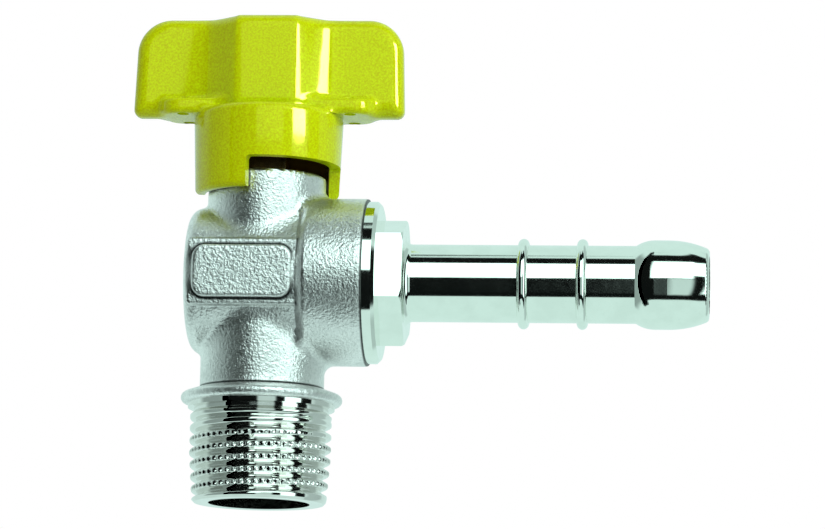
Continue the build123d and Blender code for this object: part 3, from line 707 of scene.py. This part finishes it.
# %% Skirt
SKIRT_R, SKIRT_INNER_R, HANDLE_BOTTOM, CROWN_BOTTOM = 10.75, 9.1, 12.8, 22.5
RIM_ROUND, INNER_ROUND = 0.8, 0.35
SKIRT_COLUMNS = 240
shoulder = arc((CROWN_R - CROWN_ROUND, CROWN_TOP - CROWN_ROUND), CROWN_ROUND, 90, 0)
outer_rim = arc((SKIRT_R - RIM_ROUND, HANDLE_BOTTOM + RIM_ROUND), RIM_ROUND, 0, -90)
inner_rim = arc((SKIRT_INNER_R + INNER_ROUND, HANDLE_BOTTOM + INNER_ROUND), INNER_ROUND, -90, -180)
cup = np.vstack(
    [[(0, CROWN_TOP)], shoulder, outer_rim, inner_rim, [(SKIRT_INNER_R, CROWN_BOTTOM), (0, CROWN_BOTTOM)]]
)
skirt = closed_grid("skirt", turned(cup + (0, AXIS), SKIRT_COLUMNS))
combine(handle, skirt, "UNION")
print("handle with skirt:", len(handle.data.polygons), "faces")

# %% Notches
NOTCH_TOP, NOTCH_LOW, NOTCH_CORNER = 17.3, 8.0, 0.6
NOTCH_START, NOTCH_WIDTH = 79.5, 111.0
NOTCH_IN, NOTCH_OUT = 8.0, 14.0
NOTCH_POINTS = 60


def notch(start):
    """A closed patch of turn and height with rounded upper corners, between an inner and an outer radius."""
    bend = math.degrees(NOTCH_CORNER / SKIRT_R)
    low = np.array([[start + NOTCH_WIDTH, NOTCH_LOW], [start, NOTCH_LOW]])
    corner = arc((0, 0), 1, 180, 90)
    left = (start + bend, NOTCH_TOP - NOTCH_CORNER) + corner * (bend, NOTCH_CORNER)
    right = (start + NOTCH_WIDTH - bend, NOTCH_TOP - NOTCH_CORNER) + corner[::-1] * (-bend, NOTCH_CORNER)
    top = np.linspace(left[-1], right[0], NOTCH_POINTS)[1:-1]
    edge = np.vstack([low, left, top, right])
    centre = np.tile((start + NOTCH_WIDTH / 2, (NOTCH_LOW + NOTCH_TOP) / 2), (len(edge), 1))
    patch = np.stack([centre, edge, edge, centre])
    turn = np.radians(patch[..., 0])
    radius = np.array([NOTCH_IN, NOTCH_IN, NOTCH_OUT, NOTCH_OUT])[:, None]
    return np.stack([radius * np.cos(turn), radius * np.sin(turn), AXIS + patch[..., 1]], axis=-1)


HALF_TURN = 180
for start in (NOTCH_START, NOTCH_START - HALF_TURN):
    combine(handle, closed_grid("notch", notch(start)), "DIFFERENCE")
print("notched handle:", len(handle.data.polygons), "faces")

# %% Socket, well and wire holes
SQUARE_HALF, SOCKET_R, SOCKET_LOW, SOCKET_COLUMNS = 3.05, 4.05, 20, 96
WELL_R, WELL_FLOOR, WELL_TOP = 4.4, 34.5, 45
turn = np.linspace(0, 2 * np.pi, SOCKET_COLUMNS, endpoint=False)
square = np.minimum(SOCKET_R, SQUARE_HALF / np.maximum(np.abs(np.cos(turn)), np.abs(np.sin(turn))))
well = np.full(SOCKET_COLUMNS, WELL_R)
radius = np.stack([0 * well, square, square, well, well, 0 * well])
levels = np.array([SOCKET_LOW, SOCKET_LOW, WELL_FLOOR, WELL_FLOOR, WELL_TOP, WELL_TOP])
height = AXIS + levels[:, None] + 0 * radius
socket = np.stack([radius * np.cos(turn), radius * np.sin(turn), height], axis=-1)
combine(handle, closed_grid("socket", socket), "DIFFERENCE")

WIRE_HOLE_R, WIRE_HOLE_X, WIRE_HOLE_Y = 0.9, 12.5, 3.5
DRILL_LOW, DRILL_TOP, DRILL_COLUMNS = 50, 64, 32
drill_profile = [(0, DRILL_LOW), (WIRE_HOLE_R, DRILL_LOW), (WIRE_HOLE_R, DRILL_TOP), (0, DRILL_TOP)]
drill = turned(drill_profile, DRILL_COLUMNS)
for side in (-1, 1):
    for facing in (-1, 1):
        hole = drill + (side * WIRE_HOLE_X, facing * WIRE_HOLE_Y, 0)
        combine(handle, closed_grid("wire_hole", hole), "DIFFERENCE")
handle.data.set_sharp_from_angle(angle=SHARP_ANGLE)
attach(handle, "rotor")
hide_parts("handle")
print("handle:", len(handle.data.polygons), "faces")

# %% [markdown]
# ## Finishes
# Each finish starts from a Principled shader and Object coordinates, in metres, so the grain keeps its real
# size on every piece. Numbers that hold all over a surface sit on the shader's own sockets.

# %% Start of a finish
def new_finish(name, **constants):
    """A material with its shader's constant sockets set: returns the material, the shader and the place."""
    material = bpy.data.materials.new(name)
    material.use_nodes = True
    shader = material.node_tree.nodes["Principled BSDF"]
    for socket, number in constants.items():
        shader.inputs[socket.replace("_", " ")].default_value = number
    place = Value(material.node_tree).node("ShaderNodeTexCoord", output="Object")
    return material, shader, place


def noise(place, size, detail=2.0, roughness=0.5):
    """Cloudy noise, with spots of a size in mm."""
    sockets = {"Vector": place, "Scale": 1 / (size * MM), "Detail": detail, "Roughness": roughness}
    return place.node("ShaderNodeTexNoise", sockets=sockets)


def dents(height, depth, strength=1.0):
    """Normals of a height map whose full range is a depth in mm."""
    sockets = {"Strength": strength, "Distance": depth * MM, "Height": height}
    return height.node("ShaderNodeBump", sockets=sockets, output="Normal")


OUTLET_AXIS, BACK_AXIS, STEM_AXIS = 0, 1, 2


def coordinate(place, axis):
    """One coordinate of a place: along the outlet, to the back or up the stem."""
    return place.node("ShaderNodeSeparateXYZ", sockets={0: place}, output=axis)


print("finish helpers ready")

# %% [markdown]
# ## Blasted nickel
# The forging is blasted with grit before it is plated, so its skin is a field of tiny overlapping dents under
# thin nickel. Real dents would need millions of faces. Two noises of different size make them here as bump,
# with a slow cloud in the colour, and the crease numbers from above paint the plate nearly black as shade in
# the inner corners.

# %% Blasted nickel
# The last colour is the near-black painted shade for the inner corners.
DULL_NICKEL, CLEAN_NICKEL, CREASE_SHADE_COLOUR = (0.72, 0.73, 0.72), (0.95, 0.95, 0.94), (0.035, 0.035, 0.035)
GRAIN_SIZE, FINE_SIZE, CLOUD_SIZE = 0.42, 0.22, 4.0
GRAIN_SHARE, FINE_SHARE = 0.65, 0.35
RELIEF_SHARE, CLOUD_SHARE, DULL_UP_TO, CLEAN_FROM = 0.6, 0.4, 0.32, 0.62
DENT_DEPTH, DENT_STRENGTH, CREASE_SHADE_FULL = 0.16, 0.9, 0.75
BLASTED_ROUGHNESS, GRAIN_ROUGHNESS = 0.28, 0.13
blasted, shader, place = new_finish("blasted_nickel", Metallic=1.0)
grain = noise(place, GRAIN_SIZE, detail=1.0)
fine = noise(place, FINE_SIZE, detail=1.0)
cloud = noise(place, CLOUD_SIZE)
relief = grain * GRAIN_SHARE + fine * FINE_SHARE
dents(relief, DENT_DEPTH, DENT_STRENGTH).feed(shader, "Normal")
cleanness = (relief * RELIEF_SHARE + cloud * CLOUD_SHARE).step(DULL_UP_TO, CLEAN_FROM)
plate = cleanness.blend(DULL_NICKEL, CLEAN_NICKEL)
# Painted shade: the crease shares darken the plate nearly to black in the inner corners.
crease_shade_share = place.node("ShaderNodeAttribute", {"attribute_name": "crease_shade"}, output="Fac")
crease_shade_share.step(0.0, CREASE_SHADE_FULL).blend(plate, CREASE_SHADE_COLOUR).feed(shader, "Base Color")
(BLASTED_ROUGHNESS + fine * GRAIN_ROUGHNESS).feed(shader, "Roughness")
body.data.materials.clear()
body.data.materials.append(blasted)
print("blasted nickel:", len(blasted.node_tree.nodes), "nodes")

# %% [markdown]
# ## Bright turned nickel
# The connector and the thread are turned on a lathe and plated bright, so they mirror the room. A lathe leaves
# a very fine groove, and plating evens it out in soft waves. Both could be left out, but then the mirror is
# too perfect. Here a sine along the axis of turning and a faint noise tilt the normals by a trace. The body is
# one mesh, so its turned faces, all below the flange or in the bores, get this finish by their place.

# %% Bright turned nickel
LATHE_FEED = 0.16
WEAR_SIZE, WEAR_DETAIL, WAVE_SIZE = 3.0, 3.0, 1.6
RING_SHARE, WAVE_SHARE, TURNED_DEPTH, TURNED_STRENGTH = 0.12, 0.9, 0.006, 0.6
WEAR_LOW, WEAR_HIGH = 0.3, 0.7
BRIGHT_ROUGHNESS, WEAR_ROUGHNESS = 0.045, 0.06


def bright_nickel(name, axis, dull, clean):
    """Polished plate over fine lathe rings round an axis: a sine of the distance along that axis."""
    material, shader, place = new_finish(name, Metallic=1.0)
    along = coordinate(place, axis)
    rings = (along * (2 * math.pi / (LATHE_FEED * MM))).math("SINE")
    wear = noise(place, WEAR_SIZE, WEAR_DETAIL)
    waves = noise(place, WAVE_SIZE, detail=1.0)
    uneven = rings * RING_SHARE + waves * WAVE_SHARE
    dents(uneven, TURNED_DEPTH, TURNED_STRENGTH).feed(shader, "Normal")
    wear.step(WEAR_LOW, WEAR_HIGH).blend(dull, clean).feed(shader, "Base Color")
    (BRIGHT_ROUGHNESS + wear * WEAR_ROUGHNESS).feed(shader, "Roughness")
    return material


TAIL_DULL, TAIL_CLEAN = (0.82, 0.87, 0.81), (0.87, 0.92, 0.86)
THREAD_DULL, THREAD_CLEAN = (0.74, 0.74, 0.71), (0.80, 0.80, 0.77)
tail_finish = bright_nickel("bright_nickel_tail", OUTLET_AXIS, TAIL_DULL, TAIL_CLEAN)
thread_finish = bright_nickel("bright_nickel_thread", STEM_AXIS, THREAD_DULL, THREAD_CLEAN)
nodes["hose_tail"].data.materials.clear()
nodes["hose_tail"].data.materials.append(tail_finish)
body.data.materials.append(thread_finish)
print("bright finishes:", tail_finish.name, thread_finish.name)

# %% Turned faces of the body
TURNED_BELOW, BORED_WITHIN = 14.66, 7.6
middles = np.empty(3 * len(body.data.polygons))
body.data.polygons.foreach_get("center", middles)
middles = middles.reshape(-1, 3) / MM
bored = np.hypot(middles[:, 0], middles[:, 1]) < BORED_WITHIN
machined = (middles[:, 2] < TURNED_BELOW) | bored
body.data.polygons.foreach_set("material_index", machined.astype(np.int32))
print("turned faces:", int(machined.sum()), "of", len(machined))

# %% [markdown]
# ## Yellow paint
# The handle is powder coated: a thick glossy yellow, finely speckled, with a slightly wavy skin that bends its
# highlights. The inside of the hollow skirt is painted dark brown as shade. A second material could paint that
# inside, but the cup is simply all that lies within its radius and below its top, so two smooth steps on the
# place make the mask.

# %% Yellow paint
# The last colour is the dark painted shade inside the skirt's cup.
SHADE_YELLOW, SUN_YELLOW, CUP_SHADE_COLOUR = (0.44, 0.51, 0.002), (0.55, 0.76, 0.005), (0.10, 0.06, 0.008)
PAINT_IOR, GLOSS_TINT = 1.5, (1.0, 0.95, 0.18, 1.0)
PEEL_SIZE, FLOW_SIZE, SPECKLE_SIZE, SPECKLE_ROUGHNESS = 0.9, 4.5, 0.30, 0.7
PEEL_SHARE, FLOW_SHARE, PAINT_DEPTH, PAINT_STRENGTH = 0.12, 0.88, 0.09, 0.5
SPECKLE_LOW, SPECKLE_HIGH = 0.28, 0.72
CUP_R, CUP_R_FADE, CUP_TOP, CUP_TOP_FADE = 9.18, 0.08, 56.0, 0.5
PAINT_ROUGHNESS, SPECKLE_GLOSS = 0.05, 0.06
paint, shader, place = new_finish("yellow_paint", IOR=PAINT_IOR, Specular_Tint=GLOSS_TINT)
peel = noise(place, PEEL_SIZE)
flow = noise(place, FLOW_SIZE, detail=1.0)
speckle = noise(place, SPECKLE_SIZE, roughness=SPECKLE_ROUGHNESS)
dents(peel * PEEL_SHARE + flow * FLOW_SHARE, PAINT_DEPTH, PAINT_STRENGTH).feed(shader, "Normal")
# Painted shade: inside the skirt's cup, below its top, the yellow gives way to dark brown.
across = coordinate(place, OUTLET_AXIS).math("POWER", 2) + coordinate(place, BACK_AXIS).math("POWER", 2)
from_stem = across.math("SQRT") * (1 / MM)
inside = 1 - from_stem.step(CUP_R, CUP_R + CUP_R_FADE)
up_stem = coordinate(place, STEM_AXIS) * (1 / MM)
inside = inside * (1 - up_stem.step(CUP_TOP, CUP_TOP + CUP_TOP_FADE))
yellow = speckle.step(SPECKLE_LOW, SPECKLE_HIGH).blend(SHADE_YELLOW, SUN_YELLOW)
inside.blend(yellow, CUP_SHADE_COLOUR).feed(shader, "Base Color")
(PAINT_ROUGHNESS + speckle * SPECKLE_GLOSS).feed(shader, "Roughness")
handle.data.materials.clear()
handle.data.materials.append(paint)
print("paint on:", handle.name)

# %% [markdown]
# ## A strip lamp for the handle
# The glossy paint mirrors only a few hundredths of what falls on it, so the upright soft box has to be far
# brighter for the handle than for the metal. One strip lamp stands for that: it shows only in reflections,
# and light linking lets it reach the handle alone.

# %% Strip lamp for the handle
strip_lamp = soft_lamp("strip_lamp", compass_degrees=54, height_degrees=22, size=0.32, watts=22.0)
strip_lamp.visible_glossy = True
strip_lamp.visible_diffuse = False
handle_only = bpy.data.collections.new("lit_by_strip_lamp")
handle_only.objects.link(handle)
strip_lamp.light_linking.receiver_collection = handle_only

# %% [markdown]
# ## Inner pieces
# Ball, stem, seats, seals and screw lie inside and hardly show, but someone may open the valve or take a piece
# out. Their CAD meshes are kept as they are. One recipe serves them all: a fine spotty noise that varies the
# colour, the gloss and the relief a little, with other numbers for chrome, brass, zinc, plastic and rubber.

# %% Inner pieces
SPOT_DETAIL, SPOT_LOW, SPOT_HIGH = 3.0, 0.3, 0.7
SPOT_GLOSS, SPOT_STRENGTH = 0.12, 0.5


def plain_finish(name, dark, light, rough, metal, spot, depth):
    """A finish with fine uneven colour, roughness and relief, for the small pieces inside."""
    material, shader, place = new_finish(name, Metallic=metal)
    spots = noise(place, spot, SPOT_DETAIL)
    spots.step(SPOT_LOW, SPOT_HIGH).blend(dark, light).feed(shader, "Base Color")
    (rough + spots * SPOT_GLOSS).feed(shader, "Roughness")
    dents(spots, depth, SPOT_STRENGTH).feed(shader, "Normal")
    return material


# For each piece: name of the finish, dark and light colour, roughness, metal, size of spots and depth in mm.
recipes = {
    "ball": ("ball_chrome", (0.62, 0.64, 0.66), (0.70, 0.72, 0.74), 0.03, 1.0, 2.0, 0.002),
    "stem": ("stem_brass", (0.62, 0.42, 0.16), (0.75, 0.54, 0.24), 0.18, 1.0, 0.8, 0.01),
    "handle_screw": ("zinc_steel", (0.48, 0.50, 0.52), (0.62, 0.65, 0.68), 0.22, 1.0, 0.5, 0.01),
    "outlet_seat": ("seat_plastic", (0.74, 0.74, 0.70), (0.84, 0.84, 0.80), 0.35, 0.0, 0.8, 0.01),
    "connector_seal": ("seal_rubber", (0.015, 0.015, 0.016), (0.03, 0.03, 0.032), 0.5, 0.0, 0.4, 0.01),
}
inner_finishes = {node: plain_finish(*recipe) for node, recipe in recipes.items()}
same_as = {
    "handle_washer": "handle_screw",
    "rear_seat": "outlet_seat",
    "stem_thrust_washer": "outlet_seat",
    "stem_o_ring_lower": "connector_seal",
    "stem_o_ring_upper": "connector_seal",
}
for node in [*inner_finishes, *same_as]:
    nodes[node].data.materials.clear()
    nodes[node].data.materials.append(inner_finishes[same_as.get(node, node)])
print("inner finishes:", sorted(inner_finishes))

# %% [markdown]
# ## Sizes
# A dressed part that outgrows its solids would no longer fit where the solids do.
